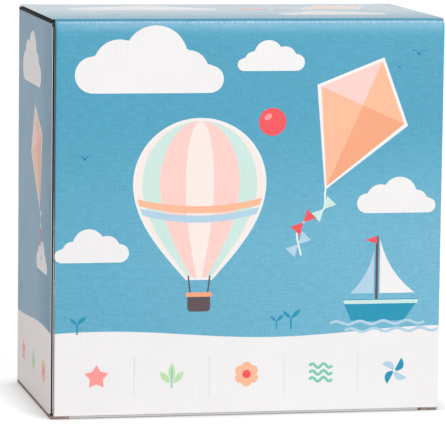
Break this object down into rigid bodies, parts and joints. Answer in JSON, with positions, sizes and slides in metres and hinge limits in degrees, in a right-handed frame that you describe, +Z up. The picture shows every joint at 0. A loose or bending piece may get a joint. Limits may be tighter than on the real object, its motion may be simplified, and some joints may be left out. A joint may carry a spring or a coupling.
{
  "type": "boxed paddle set",
  "caption": "Tuck-top corrugated carton with a hinged lid, folding flaps and, inside, strapped plywood paddles faced with cork, and a ball.",
  "frame": {"origin": "middle of the carton's footprint, on the face it stands on", "axes": "+X to the right seen from the front, +Y from the front to the back, +Z up; the printed front faces -Y"},
  "size_m": [0.24, 0.135, 0.24],
  "materials": {
    "printed_board": "printed, satin, linen grain",
    "plain_board": "white liner, satin",
    "kraft_board": "brown liner, matt",
    "birch_plywood": "sanded, clear lacquer",
    "cork": "pressed granules, matt",
    "webbing": "woven",
    "hook_and_loop": "napped",
    "keeper_plastic": "moulded",
    "ball_rubber": "satin"
  },
  "bodies": {
    "carton": {"front_panel": "printed_board", "right_panel": "printed_board", "back_panel": "printed_board", "left_panel": "printed_board", "glue_flap": "kraft_board"},
    "lid": {"lid_panel": "printed_board"},
    "lid_tuck": {"lid_tuck_flap": "kraft_board"},
    "lid_dust_left": {"lid_dust_flap_left": "plain_board"},
    "lid_dust_right": {"lid_dust_flap_right": "plain_board"},
    "base": {"base_panel": "plain_board"},
    "base_tuck": {"base_tuck_flap": "kraft_board"},
    "base_dust_left": {"base_dust_flap_left": "plain_board"},
    "base_dust_right": {"base_dust_flap_right": "plain_board"},
    "front_paddle": {"front_paddle_board": "birch_plywood", "front_paddle_cork": "cork", "front_strap_band": "webbing", "front_loop_patch": "hook_and_loop", "front_strap_keeper": "keeper_plastic"},
    "front_tab": {"front_strap_tab": "webbing", "front_hook_patch": "hook_and_loop"},
    "rear_paddle": {"rear_paddle_board": "birch_plywood", "rear_paddle_cork": "cork", "rear_strap_band": "webbing", "rear_loop_patch": "hook_and_loop", "rear_strap_keeper": "keeper_plastic"},
    "rear_tab": {"rear_strap_tab": "webbing", "rear_hook_patch": "hook_and_loop"},
    "ball": {"ball": "ball_rubber"}
  },
  "joints": [
    {"name": "lid_hinge", "type": "hinge", "parent": "carton", "child": "lid", "pos_m": [0, -0.0675, 0.24], "axis": [1, 0, 0], "range_deg": [0, 180]},
    {"name": "lid_tuck_fold", "type": "hinge", "parent": "lid", "child": "lid_tuck", "pos_m": [0, 0.0654, 0.24], "axis": [1, 0, 0], "range_deg": [0, 72]},
    {"name": "lid_dust_left_fold", "type": "hinge", "parent": "carton", "child": "lid_dust_left", "pos_m": [-0.12, 0, 0.2372], "axis": [0, -1, 0], "range_deg": [0, 99]},
    {"name": "lid_dust_right_fold", "type": "hinge", "parent": "carton", "child": "lid_dust_right", "pos_m": [0.12, 0, 0.2372], "axis": [0, 1, 0], "range_deg": [0, 99]},
    {"name": "base_hinge", "type": "hinge", "parent": "carton", "child": "base", "pos_m": [0, 0.0675, 0], "axis": [1, 0, 0], "range_deg": [0, 180]},
    {"name": "base_tuck_fold", "type": "hinge", "parent": "base", "child": "base_tuck", "pos_m": [0, -0.0654, 0], "axis": [1, 0, 0], "range_deg": [0, 72]},
    {"name": "base_dust_left_fold", "type": "hinge", "parent": "carton", "child": "base_dust_left", "pos_m": [-0.12, 0, 0.0019], "axis": [0, 1, 0], "range_deg": [0, 99]},
    {"name": "base_dust_right_fold", "type": "hinge", "parent": "carton", "child": "base_dust_right", "pos_m": [0.12, 0, 0.0019], "axis": [0, -1, 0], "range_deg": [0, 99]},
    {"name": "front_paddle_lift", "type": "slide", "parent": "carton", "child": "front_paddle", "axis": [0, 0, 1], "range_m": [0, 0.0145]},
    {"name": "rear_paddle_lift", "type": "slide", "parent": "carton", "child": "rear_paddle", "axis": [0, 0, 1], "range_m": [0, 0.0145]},
    {"name": "front_tab_peel", "type": "hinge", "parent": "front_paddle", "child": "front_tab", "pos_m": [-0.071, -0.0469, 0.1469], "axis": [0, 0, 1], "range_deg": [0, 90]},
    {"name": "rear_tab_peel", "type": "hinge", "parent": "rear_paddle", "child": "rear_tab", "pos_m": [0.071, 0.0469, 0.1469], "axis": [0, 0, 1], "range_deg": [0, 90]},
    {"name": "ball_roll", "type": "slide", "parent": "carton", "child": "ball", "axis": [1, 0, 0], "range_m": [-0.045, 0.045]}
  ],
  "couplings": [
    {"joint": "lid_tuck_fold", "follows": "lid_hinge", "ratio": 0.4},
    {"joint": "lid_dust_left_fold", "follows": "lid_hinge", "ratio": 0.55},
    {"joint": "lid_dust_right_fold", "follows": "lid_hinge", "ratio": 0.55},
    {"joint": "base_tuck_fold", "follows": "base_hinge", "ratio": 0.4},
    {"joint": "base_dust_left_fold", "follows": "base_hinge", "ratio": 0.55},
    {"joint": "base_dust_right_fold", "follows": "base_hinge", "ratio": 0.55}
  ]
}
